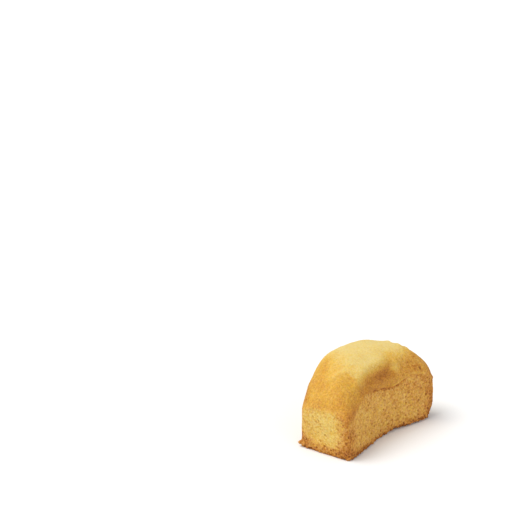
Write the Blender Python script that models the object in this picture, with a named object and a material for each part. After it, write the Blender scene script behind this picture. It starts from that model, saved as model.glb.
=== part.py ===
"""A small madeleine cake in the form of a loaf, in metres, +Z up.

It is one solid. The plan is an oblong that bows like a crescent, hollow on -Y. Moulded walls stand
up to a rim, a crease runs round at the rim, and the baked top rises over it in an uneven dome.
A box primitive is divided into a fine grid, and every point of it is moved to the cake's surface:
u runs along the length and v across the width, both from -1 to 1, and level runs up the walls
from 0 to 1. The origin is the middle of the face that the cake rests on.
"""

import bmesh
import bpy
import numpy as np
from mathutils import Vector, noise

COLLECTION = "madeleine_cake"

# Plan
LENGTH = 0.0729
WIDTH = 0.0324
HOLLOW_SIDE_BOW = 0.0067
FAR_SIDE_BOW = 0.0078
CORNER_CUT = 0.038

# Heights above the resting face
CORNER_HEIGHT = 0.0207
END_HEIGHT = 0.0226
HOLLOW_SIDE_HEIGHT = 0.0264
FAR_SIDE_HEIGHT = 0.0215
TOP_HEIGHT = 0.0423

# Walls: how far each leans out by the rim, and the rounding at the foot
NEAR_END_LEAN = 0.0014
FAR_END_LEAN = 0.0004
HOLLOW_SIDE_LEAN = -0.0011
FAR_SIDE_LEAN = -0.0007
FOOT_RADIUS = 0.0006
UNDERCUT = 0.0016
FOOT_FLARE = 0.0012
FAR_FOOT_FLARE = 0.0014

# Dome: an exponent pair for each of its four flanks, as (squareness, steepness)
NEAR_END_CURVE = (2.8, 0.78)
FAR_END_CURVE = (2.8, 0.46)
HOLLOW_FLANK_CURVE = (3.0, 0.68)
FAR_FLANK_CURVE = (3.4, 0.47)
NEAR_CORNER_EASE = 0.35
CROWN_SHIFT = (-0.0038, 0.0026)
SHOULDER_DRAW = 0.0014

# Relief, as a height or a depth
CREASE_DEPTH = 0.0005
CREASE_WIDTH = 0.0012
CREASE_DIP = 0.0029
CREASE_RISE = 0.0012
CREASE_DROOP = 0.0025
LIP_HEIGHT = 0.0003
RIDGE_HEIGHT = 0.001
VALLEY_DEPTH = 0.0012
WRINKLE_HEIGHT = 0.0004
SCALLOP_HEIGHT = 0.0009
BLISTER_HEIGHT = 0.0007
HOLE_DEPTH = 0.0006
SPUR_LENGTH = 0.0018
WORN_DEPTH = 0.0034
WORN_REACH = 0.0095
LUMP_HEIGHT = 0.00035
CRAG_DEPTH = 0.00045
LUMP_SIZE = 0.007
CRAG_SIZE = 0.0022
CRAG_REACH = 0.0035

# Divisions of the box along its length, width and height
DIVISIONS = (56, 28, 15)

CRUMB_COLOUR = (0.68, 0.40, 0.13, 1.0)
CRUMB_ROUGHNESS = 0.8


def smooth(low, high, value):
    """Eases from 0 at low to 1 at high."""
    t = np.clip((value - low) / (high - low), 0, 1)
    return t * t * (3 - 2 * t)


def hump(value, centre, width):
    return np.exp(-(((value - centre) / width) ** 2))


def mix(first, second, share):
    return first + (second - first) * share


def curve(t, exponents):
    """A dome's section: 1 in the middle and 0 at the rim."""
    squareness, steepness = exponents
    return np.clip(1 - np.abs(t) ** squareness, 0, 1) ** steepness


def rim_height(u, v):
    far_share = (1 + v) / 2
    side = mix(HOLLOW_SIDE_HEIGHT, FAR_SIDE_HEIGHT, far_share) - CORNER_HEIGHT
    end = END_HEIGHT - CORNER_HEIGHT
    along_side = np.abs(v) ** 4 * (1 - np.abs(u) ** np.where(u < 0, 3, 5))
    along_end = np.abs(u) ** 4 * (1 - np.abs(v) ** 2.5)
    return CORNER_HEIGHT + side * along_side + end * along_end


def oblong(u, v, half_length, half_width):
    """The plan before it is bowed, with its four corners rounded off."""
    x = half_length * u * (1 - CORNER_CUT * np.abs(v) ** 8)
    y = half_width * v * (1 - 2.2 * CORNER_CUT * np.abs(u) ** 10)
    return x, y


def bow(x, y):
    far_share = np.clip(0.5 + y / WIDTH, -0.05, 1.05)
    along = np.clip(1 - (2 * x / LENGTH) ** 2, -0.2, 1)
    return y + mix(HOLLOW_SIDE_BOW, FAR_SIDE_BOW, far_share) * along


def leans(u, v, level):
    end = mix(NEAR_END_LEAN, FAR_END_LEAN, (1 + u) / 2)
    side = mix(HOLLOW_SIDE_LEAN, FAR_SIDE_LEAN, (1 + v) / 2)
    return end * level, side * level


def foot_flare(u, v, level):
    """How far the hollow side's foot stands out, most of all in two places along it."""
    out = FOOT_FLARE * hump(u, -0.5, 0.3) + FAR_FOOT_FLARE * hump(u, 0.6, 0.22)
    return out * (1 - level) ** 2 * smooth(0, -1, v)


def wall_points(u, v, level):
    height = level * rim_height(u, v)
    radius = FOOT_RADIUS + UNDERCUT * smooth(-0.2, 0.3, u) * smooth(0, -0.9, v)
    below_round = np.clip(1 - height / radius, 0, 1)
    foot = radius * (1 - np.sqrt(1 - below_round**2))
    end_lean, side_lean = leans(u, v, level)
    x, y = oblong(u, v, LENGTH / 2 - foot + end_lean, WIDTH / 2 - foot + side_lean)
    return np.stack([x, bow(x, y) - foot_flare(u, v, level), height], axis=1)


def top_points(u, v):
    end_lean, side_lean = leans(u, v, 1)
    x, y = oblong(u, v, LENGTH / 2 + end_lean, WIDTH / 2 + side_lean)
    inside = (1 - u**2) * (1 - v**2)
    drawn = smooth(0, -0.8, u) * (1 - u**6) * smooth(-0.6, 0.8, v)
    x = x + CROWN_SHIFT[0] * inside + SHOULDER_DRAW * drawn
    y = y + CROWN_SHIFT[1] * inside
    along = mix(curve(u, NEAR_END_CURVE), curve(u, FAR_END_CURVE), smooth(-0.5, 0.5, u))
    squareness, steepness = HOLLOW_FLANK_CURVE
    hollow_flank = curve(v, (squareness, steepness + NEAR_CORNER_EASE * smooth(-0.3, -0.75, u)))
    across = mix(hollow_flank, curve(v, FAR_FLANK_CURVE), smooth(-0.4, 0.4, v))
    height = rim_height(u, v) + (TOP_HEIGHT - CORNER_HEIGHT) * along * across
    return np.stack([x, bow(x, y), height], axis=1)


def crease_height(u, v):
    """Where the skin meets the wall: the rim, but in a wave along the hollow side."""
    droop = CREASE_DROOP * smooth(-0.6, -0.8, u)
    dip = CREASE_DIP * hump(u, 0.22, 0.25) - CREASE_RISE * hump(u, -0.42, 0.15)
    return rim_height(u, v) - (dip + droop) * smooth(-0.6, -0.9, v) * smooth(0.95, 0.7, u)


def crease(u, v, points):
    """A shallow groove along both long sides and a soft lip just over it."""
    above = points[:, 2] - crease_height(u, v)
    groove = -CREASE_DEPTH * hump(above, 0, CREASE_WIDTH)
    lip = LIP_HEIGHT * hump(above, 2 * CREASE_WIDTH, CREASE_WIDTH)
    return (groove + lip) * smooth(0.6, 1, np.abs(v)) * smooth(0.9, 0.5, np.abs(u))


def ridge_and_valley(u, v):
    """The top's edge over the hollow side, and the sunken band between it and the crease."""
    risen = curve(v, HOLLOW_FLANK_CURVE)
    ridge = hump(risen, 0.68, 0.14) * smooth(-0.8, -0.4, u) * smooth(0.45, 0.1, u)
    valley = hump(risen, 0.34, 0.14) * smooth(-0.7, -0.2, u) * smooth(0.85, 0.5, u)
    return (RIDGE_HEIGHT * ridge - VALLEY_DEPTH * valley) * (v < 0)


def wrinkle(u, v):
    """A fold that winds across the near end of the top."""
    line = -0.495 - 0.5 * np.clip(v + 0.48, 0, 0.6)
    reach = smooth(-0.95, -0.75, v) * smooth(0.15, -0.15, v)
    return WRINKLE_HEIGHT * (hump(u, line, 0.045) - 0.7 * hump(u, line - 0.09, 0.05)) * reach


def scallops(u, v):
    """Three short overlapping folds by the far end of the top, each ending in a small step."""
    total = 0
    for step_u, step_v, size in ((0.70, 0.0, 1.0), (0.745, -0.25, 0.9), (0.81, -0.37, 0.7)):
        behind = step_u - u + 0.2 * (v - step_v)
        fold = smooth(-0.012, 0.012, behind) * smooth(0.16, 0, behind)
        total = total + size * fold * hump(v, step_v, 0.25)
    return SCALLOP_HEIGHT * total


def blister_and_hole(u, v):
    blister = hump(u, 0.37, 0.07) * hump(v, -0.86, 0.06)
    hole = hump(u, 0.78, 0.03) * hump(v, -0.94, 0.05)
    return BLISTER_HEIGHT * blister - HOLE_DEPTH * hole


def spur(u, v, points):
    """A crumb that sticks out at one bottom corner."""
    near = hump(points[:, 2], 0.0021, 0.0009) * smooth(-0.97, -1.0, u)
    return SPUR_LENGTH * near * smooth(0.8, 1, v)


def worn_corner(u, v, points):
    """The far end's foot on the hollow side, where crumbs have come away."""
    low = np.clip(1 - points[:, 2] / WORN_REACH, 0, 1)
    return -WORN_DEPTH * low**2 * smooth(0.9, 1, u) * smooth(0.6, -0.4, v)


def sample(points, size, seed):
    """Smooth noise from about -1 to 1 at every point."""
    shift = Vector((seed, 2 * seed, 3 * seed))
    return np.array([noise.noise(Vector(point) / size + shift) for point in points])


def relief(u, v, points, on_top):
    """How far each point stands out from the plain form."""
    lumps = LUMP_HEIGHT * sample(points, LUMP_SIZE, 11.3)
    foot_band = smooth(CRAG_REACH, 0, points[:, 2])
    crags = -CRAG_DEPTH * foot_band * (0.5 + sample(points, CRAG_SIZE, 4.7))
    on_crust = ridge_and_valley(u, v) + wrinkle(u, v) + scallops(u, v) + blister_and_hole(u, v)
    on_walls = spur(u, v, points) + worn_corner(u, v, points)
    marks = np.where(on_top, on_crust, on_walls)
    return lumps + crags + marks + crease(u, v, points)


def divided_box():
    """A box primitive from -1 to 1, cut into a grid on every face."""
    mesh = bmesh.new()
    bmesh.ops.create_cube(mesh, size=2)
    for axis, count in enumerate(DIVISIONS):
        crossing = []
        for edge in mesh.edges:
            step = edge.verts[1].co - edge.verts[0].co
            if abs(step[axis]) > 1:
                crossing.append(edge)
        bmesh.ops.subdivide_edges(mesh, edges=crossing, cuts=count - 1, use_grid_fill=True)
    return mesh


def spread(t):
    """Sets the grid's lines closer together towards the rim."""
    return 0.5 * t + 0.5 * np.sin(t * np.pi / 2)


def set_points(mesh, points):
    for vert, point in zip(mesh.verts, points):
        vert.co = point


def merge_base(mesh):
    """Makes the resting face one flat face."""
    flat = [face for face in mesh.faces if all(vert.co.z < -0.999 for vert in face.verts)]
    bmesh.ops.dissolve_faces(mesh, faces=flat)


def mould(mesh):
    """Moves the box's points to the plain form, then stands the relief out from it."""
    grid = np.array([vert.co[:] for vert in mesh.verts])
    u = spread(grid[:, 0])
    v = spread(grid[:, 1])
    on_top = grid[:, 2] > 0.999
    level = ((1 + grid[:, 2]) / 2) ** 1.25
    form = np.where(on_top[:, None], top_points(u, v), wall_points(u, v, level))
    set_points(mesh, form)
    mesh.normal_update()
    normals = np.array([vert.normal[:] for vert in mesh.verts])
    on_base = level == 0
    normals[on_base, 2] = 0
    points = form + normals * relief(u, v, form, on_top)[:, None]
    middle = (points.min(axis=0) + points.max(axis=0)) / 2
    set_points(mesh, points - [middle[0], middle[1], 0])


def crumb_material():
    material = bpy.data.materials.new("baked_sponge")
    material.use_nodes = True
    shader = material.node_tree.nodes["Principled BSDF"]
    shader.inputs["Base Color"].default_value = CRUMB_COLOUR
    shader.inputs["Roughness"].default_value = CRUMB_ROUGHNESS
    shader.inputs["Metallic"].default_value = 0.0
    return material


def add_cake(collection):
    box = divided_box()
    merge_base(box)
    mould(box)
    bmesh.ops.triangulate(box, faces=[face for face in box.faces if len(face.verts) == 4])
    mesh = bpy.data.meshes.new("cake")
    box.to_mesh(mesh)
    box.free()
    mesh.shade_smooth()
    mesh.materials.append(crumb_material())
    collection.objects.link(bpy.data.objects.new("cake", mesh))


def main():
    for old in list(bpy.data.objects):
        bpy.data.objects.remove(old)
    collection = bpy.data.collections.new(COLLECTION)
    bpy.context.scene.collection.children.link(collection)
    add_cake(collection)


main()
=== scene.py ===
"""The looks of a small loaf-shaped madeleine cake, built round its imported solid.

The form is worked out as in the solid's own source, on a finer grid, and the sponge's pores, crumb
and baked skin are then sunk into it. Metres, +Z up: +X is the length, -Y the hollow long side.
u runs along the length and v across the width, both from -1 to 1, and level runs up the walls from
0 to 1. The camera sees the near end, u = -1, and the hollow side, v = -1.
"""

import math

import bmesh
import bpy
import numpy as np
from mathutils import Matrix, Vector, noise


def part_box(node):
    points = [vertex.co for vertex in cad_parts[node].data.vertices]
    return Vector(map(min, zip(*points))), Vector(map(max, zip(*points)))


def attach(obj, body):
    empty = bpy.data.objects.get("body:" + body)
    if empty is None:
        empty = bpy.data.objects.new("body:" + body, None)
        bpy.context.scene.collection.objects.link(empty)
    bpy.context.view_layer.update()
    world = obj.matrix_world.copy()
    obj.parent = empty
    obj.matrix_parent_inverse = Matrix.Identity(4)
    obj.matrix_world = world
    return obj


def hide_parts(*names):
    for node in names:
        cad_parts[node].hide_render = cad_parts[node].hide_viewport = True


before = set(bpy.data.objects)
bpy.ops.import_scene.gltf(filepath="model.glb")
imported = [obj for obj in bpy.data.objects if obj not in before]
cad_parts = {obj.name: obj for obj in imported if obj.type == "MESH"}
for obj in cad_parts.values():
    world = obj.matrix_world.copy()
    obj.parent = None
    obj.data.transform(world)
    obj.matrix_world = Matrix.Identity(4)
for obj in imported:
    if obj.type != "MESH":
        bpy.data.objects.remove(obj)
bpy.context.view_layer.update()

# Camera, from the photograph: where the middle of the resting face shows, and how it is seen
FRAME_PX = 512
FOCAL_PX = 2264
METRES_PER_PX = 0.0005
ORIGIN_PX = (360.9, 428.95)
VIEW_TURN = math.radians(51.34)
VIEW_PITCH = math.radians(18.98)
SENSOR_MM = 36

# Plan
LENGTH = 0.0729
WIDTH = 0.0324
HOLLOW_SIDE_BOW = 0.0067
FAR_SIDE_BOW = 0.0078
CORNER_CUT = 0.038

# Heights above the resting face
CORNER_HEIGHT = 0.0207
END_HEIGHT = 0.0226
HOLLOW_SIDE_HEIGHT = 0.0264
FAR_SIDE_HEIGHT = 0.0215
TOP_HEIGHT = 0.0423

# Walls: how far each leans out by the rim, and the rounding at the foot
NEAR_END_LEAN = 0.0014
FAR_END_LEAN = 0.0004
HOLLOW_SIDE_LEAN = -0.0011
FAR_SIDE_LEAN = -0.0007
FOOT_RADIUS = 0.0006
UNDERCUT = 0.0016
FOOT_FLARE = 0.0012
FAR_FOOT_FLARE = 0.0014

# Dome: an exponent pair for each of its four flanks, as (squareness, steepness)
NEAR_END_CURVE = (2.8, 0.78)
FAR_END_CURVE = (2.8, 0.46)
HOLLOW_FLANK_CURVE = (3.0, 0.68)
FAR_FLANK_CURVE = (3.4, 0.47)
NEAR_CORNER_EASE = 0.35
CROWN_SHIFT = (-0.0038, 0.0026)
SHOULDER_DRAW = 0.0014

# Broad relief, as a height or a depth, with the width and place of its marks
CREASE_DEPTH = 0.0006
CREASE_WIDTH = 0.0004
CREASE_PATCH_SIZE = 0.003
CREASE_DIP = 0.0029
CREASE_RISE = 0.0012
CREASE_DROOP = 0.0025
LIP_HEIGHT = 0.0004
LIP_WIDTH = 0.0006
LIP_ABOVE_CREASE = 0.0009
END_LIP_HEIGHT = 0.0005
END_LIP_ABOVE_CREASE = 0.0004
RIDGE_HEIGHT = 0.001
VALLEY_DEPTH = 0.0012
WRINKLE_HEIGHT = 0.0004
SCALLOP_HEIGHT = 0.0009
BLISTER_HEIGHT = 0.0007
HOLE_DEPTH = 0.0006
SPUR_LENGTH = 0.0018
SPUR_THICKNESS = 0.0009
SPUR_ABOVE_BASE = 0.0021
WORN_DEPTH = 0.0034
WORN_REACH = 0.0095
LUMP_HEIGHT = 0.00035
CRAG_DEPTH = 0.00045
LUMP_SIZE = 0.007
CRAG_SIZE = 0.0022
CRAG_REACH = 0.0035

# Steps of the folds by the far end and burst bubbles in the skin, each as (u, v, size)
SCALLOP_STEPS = ((0.70, 0.0, 1.0), (0.745, -0.25, 0.9), (0.81, -0.37, 0.7))
SKIN_HOLES = ((0.775, -0.955, 0.9), (0.53, -0.81, 0.5))

# Fine relief of the open crumb on the walls and of the skin on the top
PORE_SPACING = 0.0019
PORE_DEPTH = 0.00032
PORE_MEAN = 0.2
CAVITY_SPACING = 0.0062
CAVITY_DEPTH = 0.0006
CRUMB_SPACING = 0.0011
CRUMB_HEIGHT = 0.00022
PINHOLE_SPACING = 0.0026
PINHOLE_DEPTH = 0.00016
SKIN_SIZE = 0.0009
SKIN_DEPTH = 0.00008
SKIN_HOLE_DEPTH = 0.0005
FOOT_CRUMB_SPACING = 0.0016
FOOT_CRUMB_HEIGHT = 0.0011
FOOT_PIT_SPACING = 0.0032
FOOT_PIT_DEPTH = 0.0006

# Pits: least radius, most radius and the share of cells that have one, all against the spacing
PORE_DRAW = (0.2, 0.5, 0.85)
CAVITY_DRAW = (0.08, 0.17, 0.8)
PINHOLE_DRAW = (0.08, 0.2, 0.7)
FOOT_PIT_DRAW = (0.15, 0.4, 0.8)

# Edge of the baked skin: how wide it blends into the walls, how thin it wears and how it wanders
SIDE_SKIN_BLEND = 0.0005
END_SKIN_BLEND = 0.003
END_SKIN_RISE = 0.0015
SKIN_WEAR = 0.38
RIM_WAVE = 0.0007
RIM_WAVE_SIZE = 0.0045

# Where each pattern of noise starts
LUMP_SEED = 11.3
CRAG_SEED = 4.7
CREASE_SEED = 14.1
RIM_SEED = 33.3
DASH_SEED = 26.2
PORE_SEED = 3.1
CAVITY_SEED = 8.2
PINHOLE_SEED = 5.9
CRUMB_SEED = 21.7
SKIN_SEED = 17.9
FOOT_CRUMB_SEED = 31.3
FOOT_PIT_SEED = 41.9

# Browning of the top, from 0 for pale to 1 for dark brown, with painted highlights and painted shade
# among its marks
LEAST_BROWNING = 0.02
BROWNING_RANGE = 0.62
NEAR_END_BROWNING = 0.84
FAR_END_BROWNING = 0.8
VALLEY_BROWNING = 0.17
PATCH_BROWNING = 0.28
NEAR_CORNER_BROWNING = 0.15
FAR_SHOULDER_BROWNING = 0.18
RIM_BROWNING = 0.09
CLOUD_BROWNING = 0.13
# Painted shade along each fold's step
SCALLOP_STEP_PAINTED_SHADE = 0.16
# The blister: partly paler crust and partly a painted highlight
BLISTER_PALENESS_AND_HIGHLIGHT = 0.56
# Painted highlight along the lit side of the wrinkle's fold
WRINKLE_PAINTED_HIGHLIGHT = 0.03
# Painted highlight on the folds' tops
SCALLOP_PAINTED_HIGHLIGHT = 0.1

# Browning of the walls, with painted shade and painted highlights along the crease and the foot
SIDE_BROWNING = 0.46
UNDER_CREASE_BROWNING = 0.13
SIDE_END_BROWNING = 0.26
SIDE_FOOT_BROWNING = 0.14
# Foot edge: partly a browner baked base and partly painted shade where it meets the floor
FOOT_EDGE_BROWNING_AND_SHADE = 0.22
END_BROWNING = 0.15
END_CORNER_BROWNING = 0.55
END_FOOT_BROWNING = 0.5
SPUR_PALENESS = 0.35
MOST_BROWNING = 0.88
# Painted shade in the crease's groove, as dark dashes
DASH_PAINTED_SHADE = 0.28
DASH_WIDTH = 0.0005
DASH_SIZE = 0.004
# Painted highlight on the lip of skin over the crease
FOLD_PAINTED_HIGHLIGHT = 0.2
FOLD_WIDTH = 0.0005
FOLD_ABOVE_CREASE = 0.0012

# Bands along the foot, each as the heights where it begins and where it is full
FOOT_CRUMB_BAND = (0.0045, 0.001)
SIDE_FOOT_BAND = (0.006, 0.002)
FOOT_EDGE_BAND = (0.003, 0.0008)
FOOT_LINE_BAND = (0.0015, 0)
FAR_CORNER_BAND = (0.004, 0.002)
END_FOOT_BAND = (0.008, 0.002)
END_FOOT_RISE = 0.005

# Colours from pale to dark brown, each as (browning, colour)
SKIN_COLOURS = (
    (0.0, (0.735, 0.56, 0.200)),
    (0.2, (0.72, 0.49, 0.130)),
    (0.4, (0.68, 0.40, 0.068)),
    (0.6, (0.60, 0.30, 0.042)),
    (0.8, (0.47, 0.185, 0.025)),
    (1.0, (0.30, 0.102, 0.018)),
)
CRUMB_COLOURS = (
    (0.0, (0.77, 0.585, 0.19)),
    (0.2, (0.76, 0.517, 0.132)),
    (0.4, (0.71, 0.417, 0.092)),
    (0.6, (0.62, 0.31, 0.068)),
    (0.8, (0.51, 0.20, 0.034)),
    (1.0, (0.30, 0.10, 0.018)),
)

# Patterns in the browning: the size of each, how far it shifts it, and its share on the skin
BLOTCH_SIZE = 0.007
BLOTCH_SHIFT = 0.08
MOTTLE_SIZE = 0.0016
MOTTLE_SHIFT = 0.1
SPECKLE_SIZE = 0.0008
SPECKLE_SHIFT = 0.09
# Hollows: partly a browner crust and partly painted shade
HOLLOW_BROWNING_AND_SHADE = 0.32
SKIN_MOTTLE = 0.4
SKIN_SPECKLE = 0.8

# Patterns in the colour: light and dark grains and their tint, each stronger where it is browner
GRAIN_SIZE = 0.0009
GRAIN_STRENGTH = (0.04, 0.13)
TINT_SIZE = 0.0013
TINT_STRENGTH = (0.12, 0.3)
LIGHTNESS = 1.02
# Painted shade: how much darker each hollow is made
HOLLOW_PAINTED_SHADE = 0.16

# Surface of the sponge
BUMP_SIZE = 0.0006
BUMP_HEIGHT = 0.0003
SKIN_BUMP = 0.8
CRUMB_ROUGHNESS = 0.9
SKIN_ROUGHNESS = 0.65
SPECULAR_LEVEL = 0.2
SCATTER_SHARE = 0.06
SCATTER_RADII = (1.0, 0.5, 0.2)
SCATTER_DISTANCE = 0.001

# Light: where each sun stands as the camera sees it, as steps right, beyond and up
KEY_PLACE = (-0.48, -0.05, 0.88)
KEY_WIDTH = math.radians(44)
KEY_STRENGTH = 2.38
KEY_COLOUR = (1.0, 0.99, 0.97)
FILL_PLACE = (0.6, -0.75, 0.27)
FILL_WIDTH = math.radians(70)
FILL_STRENGTH = 0.76
FILL_COLOUR = (1.0, 0.99, 0.98)
ROOM_STRENGTH = 0.51
ROOM_COLOUR = (0.98, 0.99, 1.0)

# Floor, just under the resting face
FLOOR_REACH = 4
FLOOR_DROP = 0.0001
FLOOR_COLOUR = (0.9, 0.9, 0.9)
FLOOR_ROUGHNESS = 0.9

# Box that becomes the cake: its divisions along the length, width and height, the power that draws
# its rows together towards the foot, where a point counts as on its top or bottom face, and the
# angle past which an edge stays sharp
DIVISIONS = (230, 150, 75)
ROW_POWER = 1.25
FACE_LIMIT = 0.999
SHARP_ANGLE = math.radians(60)


def smooth(low, high, value):
    """Eases from 0 at low to 1 at high."""
    t = np.clip((value - low) / (high - low), 0, 1)
    return t * t * (3 - 2 * t)


def hump(value, centre, width):
    return np.exp(-(((value - centre) / width) ** 2))


def mix(first, second, share):
    return first + (second - first) * share


def curve(t, exponents):
    """A dome's section: 1 in the middle and 0 at the rim."""
    squareness, steepness = exponents
    return np.clip(1 - np.abs(t) ** squareness, 0, 1) ** steepness


def rim_height(u, v):
    far_share = (1 + v) / 2
    side = mix(HOLLOW_SIDE_HEIGHT, FAR_SIDE_HEIGHT, far_share) - CORNER_HEIGHT
    end = END_HEIGHT - CORNER_HEIGHT
    along_side = np.abs(v) ** 4 * (1 - np.abs(u) ** np.where(u < 0, 3, 5))
    along_end = np.abs(u) ** 4 * (1 - np.abs(v) ** 2.5)
    return CORNER_HEIGHT + side * along_side + end * along_end


def oblong(u, v, half_length, half_width):
    """The plan before it is bowed, with its four corners rounded off."""
    x = half_length * u * (1 - CORNER_CUT * np.abs(v) ** 8)
    y = half_width * v * (1 - 2.2 * CORNER_CUT * np.abs(u) ** 10)
    return x, y


def bow(x, y):
    far_share = np.clip(0.5 + y / WIDTH, -0.05, 1.05)
    along = np.clip(1 - (2 * x / LENGTH) ** 2, -0.2, 1)
    return y + mix(HOLLOW_SIDE_BOW, FAR_SIDE_BOW, far_share) * along


def leans(u, v, level):
    end = mix(NEAR_END_LEAN, FAR_END_LEAN, (1 + u) / 2)
    side = mix(HOLLOW_SIDE_LEAN, FAR_SIDE_LEAN, (1 + v) / 2)
    return end * level, side * level


def foot_flare(u, v, level):
    """How far the hollow side's foot stands out, most of all in two places along it."""
    out = FOOT_FLARE * hump(u, -0.5, 0.3) + FAR_FOOT_FLARE * hump(u, 0.6, 0.22)
    return out * (1 - level) ** 2 * smooth(0, -1, v)


def wall_points(u, v, level):
    height = level * rim_height(u, v)
    radius = FOOT_RADIUS + UNDERCUT * smooth(-0.2, 0.3, u) * smooth(0, -0.9, v)
    below_round = np.clip(1 - height / radius, 0, 1)
    foot = radius * (1 - np.sqrt(1 - below_round**2))
    end_lean, side_lean = leans(u, v, level)
    x, y = oblong(u, v, LENGTH / 2 - foot + end_lean, WIDTH / 2 - foot + side_lean)
    return np.stack([x, bow(x, y) - foot_flare(u, v, level), height], axis=1)


def top_points(u, v):
    end_lean, side_lean = leans(u, v, 1)
    x, y = oblong(u, v, LENGTH / 2 + end_lean, WIDTH / 2 + side_lean)
    inside = (1 - u**2) * (1 - v**2)
    drawn = smooth(0, -0.8, u) * (1 - u**6) * smooth(-0.6, 0.8, v)
    x = x + CROWN_SHIFT[0] * inside + SHOULDER_DRAW * drawn
    y = y + CROWN_SHIFT[1] * inside
    along = mix(curve(u, NEAR_END_CURVE), curve(u, FAR_END_CURVE), smooth(-0.5, 0.5, u))
    squareness, steepness = HOLLOW_FLANK_CURVE
    hollow_flank = curve(v, (squareness, steepness + NEAR_CORNER_EASE * smooth(-0.3, -0.75, u)))
    across = mix(hollow_flank, curve(v, FAR_FLANK_CURVE), smooth(-0.4, 0.4, v))
    height = rim_height(u, v) + (TOP_HEIGHT - CORNER_HEIGHT) * along * across
    return np.stack([x, bow(x, y), height], axis=1)


def crease_height(u, v):
    """Where the skin meets the wall: the rim, but in a wave along the hollow side."""
    droop = CREASE_DROOP * smooth(-0.6, -0.8, u)
    dip = CREASE_DIP * hump(u, 0.22, 0.25) - CREASE_RISE * hump(u, -0.42, 0.15)
    return rim_height(u, v) - (dip + droop) * smooth(-0.6, -0.9, v) * smooth(0.95, 0.7, u)


def crease(u, v, points):
    """A groove and a lip of skin over it along both long sides, and a lip round the far end."""
    above = points[:, 2] - crease_height(u, v)
    uneven = 0.75 + 0.5 * sample(points, CREASE_PATCH_SIZE, CREASE_SEED)
    groove = hump(above, 0, CREASE_WIDTH) * smooth(-0.6, -0.35, u) * smooth(0.6, 0.35, u)
    lip = hump(above, LIP_ABOVE_CREASE, LIP_WIDTH) * smooth(-0.6, -0.1, u) * smooth(0.85, 0.7, u)
    end_lip = hump(above, END_LIP_ABOVE_CREASE, LIP_WIDTH) * smooth(0.96, 1, u)
    along_sides = LIP_HEIGHT * lip - CREASE_DEPTH * groove * uneven
    return along_sides * smooth(0.6, 1, np.abs(v)) + END_LIP_HEIGHT * end_lip


def ridge_and_valley(u, v):
    """The top's edge over the hollow side, and the sunken band between it and the crease."""
    risen = curve(v, HOLLOW_FLANK_CURVE)
    ridge = hump(risen, 0.68, 0.14) * smooth(-0.8, -0.4, u) * smooth(0.45, 0.1, u)
    valley = hump(risen, 0.34, 0.14) * smooth(-0.7, -0.2, u) * smooth(0.85, 0.5, u)
    return (RIDGE_HEIGHT * ridge - VALLEY_DEPTH * valley) * (v < 0)


def wrinkle_line(v):
    return -0.495 - 0.5 * np.clip(v + 0.48, 0, 0.6)


def wrinkle_reach(v):
    return smooth(-0.95, -0.75, v) * smooth(0.15, -0.15, v)


def wrinkle(u, v):
    """A fold that winds across the near end of the top."""
    line = wrinkle_line(v)
    fold = hump(u, line, 0.045) - 0.7 * hump(u, line - 0.09, 0.05)
    return WRINKLE_HEIGHT * fold * wrinkle_reach(v)


def behind_step(u, v, step_u, step_v):
    """How far a place lies short of a fold's step, which runs a little askew across the top."""
    return step_u - u + 0.2 * (v - step_v)


def scallops(u, v):
    """Three short overlapping folds by the far end of the top, from 0 to 1, ending in small steps."""
    total = 0
    for step_u, step_v, size in SCALLOP_STEPS:
        behind = behind_step(u, v, step_u, step_v)
        fold = smooth(-0.02, 0.02, behind) * smooth(0.16, 0, behind)
        total = total + size * fold * hump(v, step_v, 0.25)
    return total


def scallop_edges(u, v):
    """1 on the step that each of those folds ends in, and 0 away from it."""
    total = 0
    for step_u, step_v, size in SCALLOP_STEPS:
        edge = hump(behind_step(u, v, step_u, step_v), 0, 0.03)
        total = total + size * edge * hump(v, step_v, 0.25)
    return total


def blister_and_hole(u, v):
    blister = hump(u, 0.37, 0.07) * hump(v, -0.86, 0.06)
    hole = hump(u, 0.78, 0.03) * hump(v, -0.94, 0.05)
    return BLISTER_HEIGHT * blister - HOLE_DEPTH * hole


def spur(u, v, points):
    """A crumb that sticks out at one bottom corner."""
    near = hump(points[:, 2], SPUR_ABOVE_BASE, SPUR_THICKNESS) * smooth(-0.97, -1.0, u)
    return SPUR_LENGTH * near * smooth(0.8, 1, v)


def worn_corner(u, v, points):
    """The far end's foot on the hollow side, where crumbs have come away."""
    low = np.clip(1 - points[:, 2] / WORN_REACH, 0, 1)
    return -WORN_DEPTH * low**2 * smooth(0.9, 1, u) * smooth(0.6, -0.4, v)


def noise_start(seed):
    """The place in the endless noise that a pattern is read from."""
    return Vector((seed, 2 * seed, 3 * seed))


def sample(points, size, seed):
    """Smooth noise from about -1 to 1 at every point."""
    start = noise_start(seed)
    return np.array([noise.noise(Vector(point) / size + start) for point in points])


def broad_relief(u, v, points, on_top):
    """How far each point stands out from the plain form: the relief that the solid has too."""
    lumps = LUMP_HEIGHT * sample(points, LUMP_SIZE, LUMP_SEED)
    foot_band = smooth(CRAG_REACH, 0, points[:, 2])
    crags = -CRAG_DEPTH * foot_band * (0.5 + sample(points, CRAG_SIZE, CRAG_SEED))
    on_crust = ridge_and_valley(u, v) + wrinkle(u, v) + blister_and_hole(u, v)
    on_crust += SCALLOP_HEIGHT * scallops(u, v)
    on_walls = spur(u, v, points) + worn_corner(u, v, points)
    marks = np.where(on_top, on_crust, on_walls)
    return lumps + crags + marks + crease(u, v, points)


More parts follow.
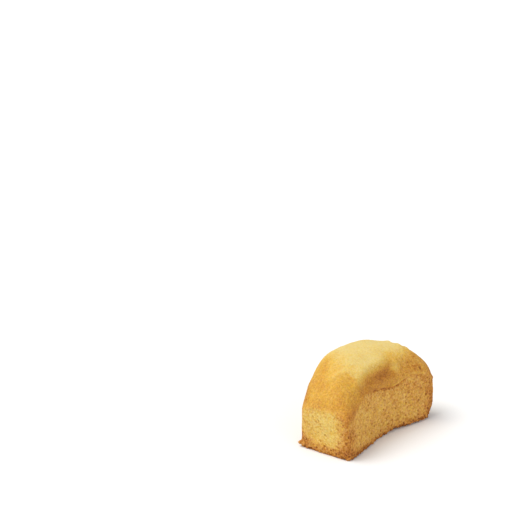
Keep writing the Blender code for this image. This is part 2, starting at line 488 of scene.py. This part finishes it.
def pits(points, spacing, seed, draw):
    """Round hollows scattered through space: 0 outside one and up to 1 at its middle."""
    least, most, share = draw
    start = noise_start(seed)
    depth = np.zeros(len(points))
    for index, point in enumerate(points):
        distances, centres = noise.voronoi(Vector(point) / spacing + start)
        chance, size, _ = noise.cell_vector(centres[0] * 7.31)
        if chance % 1.0 > share:
            continue
        radius = least + (most - least) * (size % 1.0)
        depth[index] = max(0.0, 1 - distances[0] / radius)
    return depth


def grains(points, spacing, seed):
    """Rounded crumbs packed side by side: about 0 on average, higher in the middle of each."""
    start = noise_start(seed)
    nearest = [noise.voronoi(Vector(point) / spacing + start)[0][0] for point in points]
    return 0.45 - np.array(nearest)


def skin_share(u, v, above):
    """0 on the walls and 1 on the top: a crisp edge along the sides, a wide one by the ends.

    The skin is thin on the hollow flank's far half, where the crumb shows through it.
    """
    blend = mix(SIDE_SKIN_BLEND, END_SKIN_BLEND, smooth(0.5, 0.9, np.abs(u)))
    whole = smooth(-blend, blend, above - END_SKIN_RISE * smooth(0.8, 0.97, np.abs(u)))
    thin = smooth(0.15, 0.45, u) * smooth(-0.5, -0.8, v)
    return whole * (1 - SKIN_WEAR * thin)


def skin_holes(u, v):
    """Two burst bubbles in the skin of the hollow flank."""
    total = 0
    for hole_u, hole_v, size in SKIN_HOLES:
        total = total + size * hump(u, hole_u, 0.016) * hump(v, hole_v, 0.022)
    return total


def fine_relief(u, v, points, skin):
    """The height of crumb and skin about the plain surface, and how deep in a hollow each point is.

    skin is 1 on the baked top and 0 on the walls.
    """
    wall = 1 - skin
    foot = smooth(*FOOT_CRUMB_BAND, points[:, 2])
    pores = smooth(0, 0.7, pits(points, PORE_SPACING, PORE_SEED, PORE_DRAW))
    cavities = smooth(0, 0.8, pits(points, CAVITY_SPACING, CAVITY_SEED, CAVITY_DRAW))
    pinholes = smooth(0, 0.8, pits(points, PINHOLE_SPACING, PINHOLE_SEED, PINHOLE_DRAW))
    foot_pits = foot * smooth(0, 0.6, pits(points, FOOT_PIT_SPACING, FOOT_PIT_SEED, FOOT_PIT_DRAW))
    crumb = grains(points, CRUMB_SPACING, CRUMB_SEED)
    foot_crumb = grains(points, FOOT_CRUMB_SPACING, FOOT_CRUMB_SEED)
    grain = sample(points, SKIN_SIZE, SKIN_SEED)
    holes = skin_holes(u, v)
    height = wall * (PORE_DEPTH * (PORE_MEAN - pores) - CAVITY_DEPTH * cavities + CRUMB_HEIGHT * crumb)
    height += skin * (SKIN_DEPTH * grain - PINHOLE_DEPTH * pinholes) - SKIN_HOLE_DEPTH * holes
    height += wall * (foot * FOOT_CRUMB_HEIGHT * foot_crumb - FOOT_PIT_DEPTH * foot_pits)
    between = np.clip(-1.6 * mix(crumb, foot_crumb, 0.6 * foot), 0, 0.35)
    in_wall = np.maximum(np.maximum(between, pores), np.maximum(cavities, foot_pits))
    hollow = np.maximum(wall * in_wall, 0.6 * skin * pinholes) + 1.2 * holes
    return height, hollow


def edge_browning(u, v):
    """The top's browning towards its edges, pale in the middle."""
    soft_edge = smooth(0.1, -1.0, u)
    sharp_edge = 0.6 * smooth(0.05, -0.05, u - wrinkle_line(v)) + 0.4 * smooth(-0.2, -0.7, u)
    near_end = mix(soft_edge, sharp_edge, smooth(-0.1, -0.4, v))
    far_end = smooth(0.9, 1.22, u + 0.6 * np.sqrt(v**2 + 0.06))
    flank = smooth(0.82, 0.4, curve(v, HOLLOW_FLANK_CURVE))
    pale = (1 - NEAR_END_BROWNING * near_end) * (1 - FAR_END_BROWNING * far_end) * (1 - flank)
    return LEAST_BROWNING + BROWNING_RANGE * (1 - pale)


def top_browning(u, v):
    """0 for the pale middle of the top, to 1 for dark brown, with painted highlights and painted shade
    among its marks.
    """
    in_valley = hump(curve(v, HOLLOW_FLANK_CURVE), 0.33, 0.15) * (v < 0)
    valley = in_valley * smooth(-0.7, -0.1, u) * smooth(0.38, 0.08, u)
    patch = hump(u, 0.4, 0.17) * hump(v, 0.6 * u - 0.9, 0.14)
    near_corner = smooth(-0.7, -0.95, u) * smooth(-0.3, -0.75, v)
    far_shoulder = smooth(0.0, 0.3, v) * (1 - 0.7 * smooth(0.4, 0.8, v)) * hump(u, -0.55, 0.25)
    cloud = hump(u, -0.43, 0.1) * hump(v, -0.35, 0.35)
    baked = edge_browning(u, v) + VALLEY_BROWNING * valley + PATCH_BROWNING * patch
    baked += NEAR_CORNER_BROWNING * near_corner + FAR_SHOULDER_BROWNING * far_shoulder
    baked += RIM_BROWNING * smooth(-0.9, -0.98, v) + CLOUD_BROWNING * cloud
    # Painted shade along the steps of the folds
    baked += SCALLOP_STEP_PAINTED_SHADE * scallop_edges(u, v)
    # The blister, partly paler crust and partly a painted highlight on its bump
    blister = hump(u, 0.35, 0.08) * hump(v, -0.9, 0.06)
    # Painted highlight on the wrinkle's fold, where it faces the light
    painted_fold_highlight = hump(u, wrinkle_line(v) + 0.02, 0.03) * wrinkle_reach(v)
    # Painted highlight on the scallop folds' tops
    paleness_and_highlights = BLISTER_PALENESS_AND_HIGHLIGHT * blister + WRINKLE_PAINTED_HIGHLIGHT * painted_fold_highlight + SCALLOP_PAINTED_HIGHLIGHT * scallops(u, v)
    return baked - paleness_and_highlights


def side_browning(u, v, level, height):
    """For the long walls: browner by the far end, under the crease, at the ends and at the foot, where
    the lowest edge is partly painted shade.
    """
    towards_end = np.abs(u)
    under_crease = hump(level, 0.8, 0.1) * hump(u, 0.2, 0.2)
    baked = SIDE_BROWNING + 0.08 * smooth(0.75, 0.95, level) * smooth(-0.4, 0, u)
    baked += 0.06 * smooth(0.3, 0.9, u) + UNDER_CREASE_BROWNING * under_crease
    by_end = smooth(0.75, 0.98, towards_end) * smooth(0.8, -0.8, v)
    baked += SIDE_END_BROWNING * (1 - 0.8 * smooth(0.65, 0.9, level)) * by_end
    foot = SIDE_FOOT_BROWNING + 0.1 * smooth(0.3, 0.8, towards_end)
    baked += foot * smooth(*SIDE_FOOT_BAND, height)
    # Partly painted shade where the foot meets the floor
    return baked + FOOT_EDGE_BROWNING_AND_SHADE * smooth(*FOOT_EDGE_BAND, height)


def end_browning(v, level, height):
    """For the end walls: pale in the middle and browner towards every edge."""
    near_side = smooth(-0.25, -0.96, v)
    low = smooth(END_FOOT_BAND[0] + END_FOOT_RISE * smooth(0.2, 0.8, v), END_FOOT_BAND[1], height)
    at_far_corner = smooth(0.85, 1, v)
    baked = END_BROWNING + 0.14 * smooth(0.5, 0.9, v) + 0.12 * at_far_corner
    baked += END_CORNER_BROWNING * near_side + 0.1 * smooth(0.85, 1.0, level)
    baked += END_FOOT_BROWNING * low * (1 - 0.5 * near_side)
    return baked + 0.1 * smooth(*FAR_CORNER_BAND, height) * at_far_corner


def wall_browning(u, v, height):
    level = height / rim_height(u, v)
    end_face = smooth(0.985, 1.0, np.abs(u))
    baked = mix(side_browning(u, v, level, height), end_browning(v, level, height), end_face)
    # Darker foot line: partly a browner base and partly painted shade at the floor
    baked += 0.1 * smooth(*FOOT_LINE_BAND, height)
    on_spur = hump(height, SPUR_ABOVE_BASE, 0.0012) * smooth(-0.95, -1, u) * smooth(0.8, 0.95, v)
    return np.minimum(baked - SPUR_PALENESS * on_spur, MOST_BROWNING)


def crease_painted_light(u, v, points, above):
    """Painted shade as dark dashes in the crease of the hollow side, and a painted highlight on the fold
    just over its far half.
    """
    broken = smooth(-0.25, 0.15, sample(points, DASH_SIZE, DASH_SEED))
    dashes = hump(above, 0, DASH_WIDTH) * broken * smooth(-0.55, -0.4, u) * smooth(0.55, 0.4, u)
    fold = hump(above, FOLD_ABOVE_CREASE, FOLD_WIDTH) * smooth(0.1, 0.3, u) * smooth(0.95, 0.82, u)
    # Painted shade in the crease and a painted highlight on the fold above it
    return (DASH_PAINTED_SHADE * dashes - FOLD_PAINTED_HIGHLIGHT * fold) * smooth(-0.8, -1, v)


def browning_and_painted_light(u, v, points, skin, above):
    walls_and_top = mix(wall_browning(u, v, points[:, 2]), top_browning(u, v), skin)
    return walls_and_top + crease_painted_light(u, v, points, above)


def divided_box():
    """A box primitive from -1 to 1, cut into a grid on every face but the one it rests on."""
    box = bmesh.new()
    bmesh.ops.create_cube(box, size=2)
    for axis, count in enumerate(DIVISIONS):
        crossing = []
        for edge in box.edges:
            step = edge.verts[1].co - edge.verts[0].co
            if abs(step[axis]) > 1:
                crossing.append(edge)
        bmesh.ops.subdivide_edges(box, edges=crossing, cuts=count - 1, use_grid_fill=True)
    flat = [face for face in box.faces if all(vert.co.z < -FACE_LIMIT for vert in face.verts)]
    bmesh.ops.dissolve_faces(box, faces=flat)
    mesh = bpy.data.meshes.new("madeleine")
    box.to_mesh(mesh)
    box.free()
    return mesh


def spread(t):
    """Sets the grid's lines closer together towards the rim."""
    return 0.5 * t + 0.5 * np.sin(t * np.pi / 2)


def read_points(mesh):
    points = np.empty(len(mesh.vertices) * 3)
    mesh.vertices.foreach_get("co", points)
    return points.reshape(-1, 3)


def write_points(mesh, points):
    mesh.vertices.foreach_set("co", points.astype(np.float32).ravel())
    mesh.update()


def outward(mesh, on_base):
    """The normal of every point, kept level round the resting face."""
    normals = np.empty(len(mesh.vertices) * 3)
    mesh.vertices.foreach_get("normal", normals)
    normals = normals.reshape(-1, 3)
    normals[on_base, 2] = 0
    return normals


def centred(points):
    """Sets the middle of the form over the origin, where the solid has it."""
    middle = (points.min(axis=0) + points.max(axis=0)) / 2
    return points - [middle[0], middle[1], 0]


def store(mesh, name, values):
    attribute = mesh.attributes.new(name, "FLOAT", "POINT")
    attribute.data.foreach_set("value", values.astype(np.float32))


def mould(mesh):
    """Moves the box's points to the cake's surface and stores what the material reads of them."""
    grid = read_points(mesh)
    u = spread(grid[:, 0])
    v = spread(grid[:, 1])
    on_top = grid[:, 2] > FACE_LIMIT
    level = ((1 + grid[:, 2]) / 2) ** ROW_POWER
    on_base = level == 0
    form = np.where(on_top[:, None], top_points(u, v), wall_points(u, v, level))
    write_points(mesh, form)
    form = form + outward(mesh, on_base) * broad_relief(u, v, form, on_top)[:, None]
    write_points(mesh, form)
    above = form[:, 2] - crease_height(u, v) + RIM_WAVE * sample(form, RIM_WAVE_SIZE, RIM_SEED)
    skin = skin_share(u, v, above)
    height, hollow = fine_relief(u, v, form, skin)
    store(mesh, "skin", skin)
    store(mesh, "hollow", hollow)
    # Stored as baked: the browning, with the painted highlights and painted shade mixed into it
    store(mesh, "baked", browning_and_painted_light(u, v, form, skin, above))
    form = centred(form) + outward(mesh, on_base) * height[:, None]
    low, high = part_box("cake")
    write_points(mesh, np.clip(form, low, high))


def add_cake(material):
    mesh = divided_box()
    mould(mesh)
    mesh.shade_smooth()
    mesh.set_sharp_from_angle(angle=SHARP_ANGLE)
    mesh.materials.append(material)
    cake = bpy.data.objects.new("madeleine", mesh)
    bpy.context.scene.collection.objects.link(cake)
    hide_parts("cake")
    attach(cake, "root")


class Nodes:
    """Short calls for adding and joining a material's nodes."""

    def __init__(self, tree):
        self.tree = tree
        self.place = self.add("ShaderNodeTexCoord").outputs["Object"]

    def add(self, kind, inputs=(), **settings):
        node = self.tree.nodes.new(kind)
        for name, value in settings.items():
            setattr(node, name, value)
        for key, value in dict(inputs).items():
            self.put(node.inputs[key], value)
        return node

    def put(self, socket, value):
        if isinstance(value, bpy.types.NodeSocket):
            self.tree.links.new(value, socket)
        else:
            socket.default_value = value

    def attribute(self, name):
        return self.add("ShaderNodeAttribute", attribute_name=name).outputs["Fac"]

    def math(self, operation, first, second):
        node = self.add("ShaderNodeMath", operation=operation)
        self.put(node.inputs[0], first)
        self.put(node.inputs[1], second)
        return node.outputs[0]

    def rescale(self, value, low, high, new_low, new_high):
        """Moves a value from one range to another and keeps it inside the new one."""
        inputs = {0: value, 1: low, 2: high, 3: new_low, 4: new_high}
        return self.add("ShaderNodeMapRange", inputs).outputs[0]

    def noise(self, size, detail, roughness):
        inputs = {"Vector": self.place, "Scale": 1 / size, "Detail": detail, "Roughness": roughness}
        return self.add("ShaderNodeTexNoise", inputs).outputs["Fac"]

    def pattern(self, size, shift, detail=2, roughness=0.6, reach=0.15):
        """Noise that runs from -shift to shift; a short reach gives it more contrast."""
        return self.rescale(self.noise(size, detail, roughness), 0.5 - reach, 0.5 + reach, -shift, shift)

    def mix_colours(self, first, second, share, blend_type="MIX"):
        inputs = {"Factor": share, "A": first, "B": second}
        node = self.add("ShaderNodeMix", inputs, data_type="RGBA", blend_type=blend_type)
        return node.outputs["Result"]


def marked(nodes, baked, skin, hollow):
    """The browning with blotches, mottling and speckles, and browner in each hollow, partly as a browner
    crust and partly as painted shade.
    """
    mottle = nodes.pattern(MOTTLE_SIZE, MOTTLE_SHIFT)
    speckle = nodes.pattern(SPECKLE_SIZE, SPECKLE_SHIFT, detail=1)
    marks = (
        nodes.pattern(BLOTCH_SIZE, BLOTCH_SHIFT, roughness=0.5, reach=0.2),
        nodes.math("MULTIPLY", mottle, nodes.rescale(skin, 0, 1, 1.0, SKIN_MOTTLE)),
        nodes.math("MULTIPLY", speckle, nodes.rescale(skin, 0, 1, 1.0, SKIN_SPECKLE)),
        # painted shade, with a browner crust, in each hollow
        nodes.math("MULTIPLY", hollow, HOLLOW_BROWNING_AND_SHADE),
    )
    for mark in marks:
        baked = nodes.math("ADD", baked, mark)
    return baked


def baked_colour(nodes, baked, colours):
    node = nodes.add("ShaderNodeValToRGB", {"Fac": baked})
    elements = node.color_ramp.elements
    while len(elements) < len(colours):
        elements.new(0.5)
    for element, (position, colour) in zip(elements, colours):
        element.position = position
        element.color = (*colour, 1)
    return node.outputs["Color"]


def grain_colour(nodes, baked, hollow):
    """A colour to multiply by: light and dark grains, some yellower, and painted shade darkening each
    hollow.
    """
    grain = nodes.pattern(GRAIN_SIZE, 1, roughness=0.7)
    strength = nodes.rescale(baked, 0, 0.6, *GRAIN_STRENGTH)
    lightness = nodes.math("ADD", nodes.math("MULTIPLY", grain, strength), LIGHTNESS)
    # Painted shade in each hollow
    lightness = nodes.math("SUBTRACT", lightness, nodes.math("MULTIPLY", hollow, HOLLOW_PAINTED_SHADE))
    tint = nodes.pattern(TINT_SIZE, 1)
    tint_share = nodes.rescale(baked, 0, 0.5, *TINT_STRENGTH)
    paleness = nodes.math("ADD", nodes.math("MULTIPLY", tint, tint_share), 1.0)
    blue = nodes.math("MULTIPLY", lightness, paleness)
    shades = nodes.add("ShaderNodeCombineColor", {"Red": lightness, "Green": lightness, "Blue": blue})
    return shades.outputs["Color"]


def sponge_colour(nodes, skin):
    hollow = nodes.attribute("hollow")
    baked = marked(nodes, nodes.attribute("baked"), skin, hollow)
    crumb_colour = baked_colour(nodes, baked, CRUMB_COLOURS)
    skin_colour = baked_colour(nodes, baked, SKIN_COLOURS)
    colour = nodes.mix_colours(crumb_colour, skin_colour, skin)
    return nodes.mix_colours(colour, grain_colour(nodes, baked, hollow), 1.0, "MULTIPLY")


def sponge_bump(nodes, skin):
    fine = nodes.noise(BUMP_SIZE, 3, 0.6)
    height = nodes.math("MULTIPLY", fine, nodes.rescale(skin, 0, 1, 1.0, SKIN_BUMP))
    bump = nodes.add("ShaderNodeBump", {"Strength": 1.0, "Distance": BUMP_HEIGHT, "Height": height})
    return bump.outputs["Normal"]


def sponge_material():
    material = bpy.data.materials.new("baked_sponge")
    material.use_nodes = True
    nodes = Nodes(material.node_tree)
    skin = nodes.attribute("skin")
    surface = {
        "Base Color": sponge_colour(nodes, skin),
        "Normal": sponge_bump(nodes, skin),
        "Roughness": nodes.rescale(skin, 0, 1, CRUMB_ROUGHNESS, SKIN_ROUGHNESS),
        "Specular IOR Level": SPECULAR_LEVEL,
        "Subsurface Weight": SCATTER_SHARE,
        "Subsurface Radius": SCATTER_RADII,
        "Subsurface Scale": SCATTER_DISTANCE,
    }
    shader = material.node_tree.nodes["Principled BSDF"]
    for name, value in surface.items():
        nodes.put(shader.inputs[name], value)
    return material


def floor_material():
    material = bpy.data.materials.new("floor")
    material.use_nodes = True
    shader = material.node_tree.nodes["Principled BSDF"]
    shader.inputs["Base Color"].default_value = (*FLOOR_COLOUR, 1)
    shader.inputs["Roughness"].default_value = FLOOR_ROUGHNESS
    return material


def view_axes():
    """The camera's right, up and forward, and its heading on the floor, in the cake's frame."""
    heading = Vector((math.sin(VIEW_TURN), math.cos(VIEW_TURN), 0))
    right = Vector((math.cos(VIEW_TURN), -math.sin(VIEW_TURN), 0))
    forward = heading * math.cos(VIEW_PITCH) - Vector((0, 0, math.sin(VIEW_PITCH)))
    return right, right.cross(forward), forward, heading


def add_camera():
    right, up, forward, _ = view_axes()
    across = ORIGIN_PX[0] - FRAME_PX / 2
    down = ORIGIN_PX[1] - FRAME_PX / 2
    camera = bpy.data.objects.new("camera", bpy.data.cameras.new("camera"))
    camera.data.sensor_width = SENSOR_MM
    camera.data.lens = SENSOR_MM * FOCAL_PX / FRAME_PX
    turned = Matrix((right, up, -forward)).transposed()
    camera.matrix_world = turned.to_4x4()
    camera.location = -METRES_PER_PX * (FOCAL_PX * forward + across * right - down * up)
    bpy.context.scene.collection.objects.link(camera)
    bpy.context.scene.camera = camera


def add_floor():
    grid = bmesh.new()
    bmesh.ops.create_grid(grid, x_segments=1, y_segments=1, size=FLOOR_REACH)
    mesh = bpy.data.meshes.new("floor")
    grid.to_mesh(mesh)
    grid.free()
    mesh.materials.append(floor_material())
    floor = bpy.data.objects.new("floor", mesh)
    floor.location.z = -FLOOR_DROP
    bpy.context.scene.collection.objects.link(floor)


def add_sun(name, place, width, strength, colour):
    right, _, _, heading = view_axes()
    light = bpy.data.objects.new(name, bpy.data.lights.new(name, "SUN"))
    light.data.energy = strength
    light.data.angle = width
    light.data.color = colour
    towards = right * place[0] + heading * place[1] + Vector((0, 0, place[2]))
    light.rotation_euler = towards.to_track_quat("Z", "Y").to_euler()
    bpy.context.scene.collection.objects.link(light)


def add_lights():
    """A wide soft light from the camera's left and a low fill from its right, in an even white room."""
    add_sun("key", KEY_PLACE, KEY_WIDTH, KEY_STRENGTH, KEY_COLOUR)
    add_sun("fill", FILL_PLACE, FILL_WIDTH, FILL_STRENGTH, FILL_COLOUR)
    world = bpy.data.worlds.new("studio")
    world.use_nodes = True
    background = world.node_tree.nodes["Background"]
    background.inputs["Color"].default_value = (*ROOM_COLOUR, 1)
    background.inputs["Strength"].default_value = ROOM_STRENGTH
    bpy.context.scene.world = world
    bpy.context.scene.view_settings.view_transform = "Standard"


add_camera()
add_cake(sponge_material())
add_floor()
add_lights()
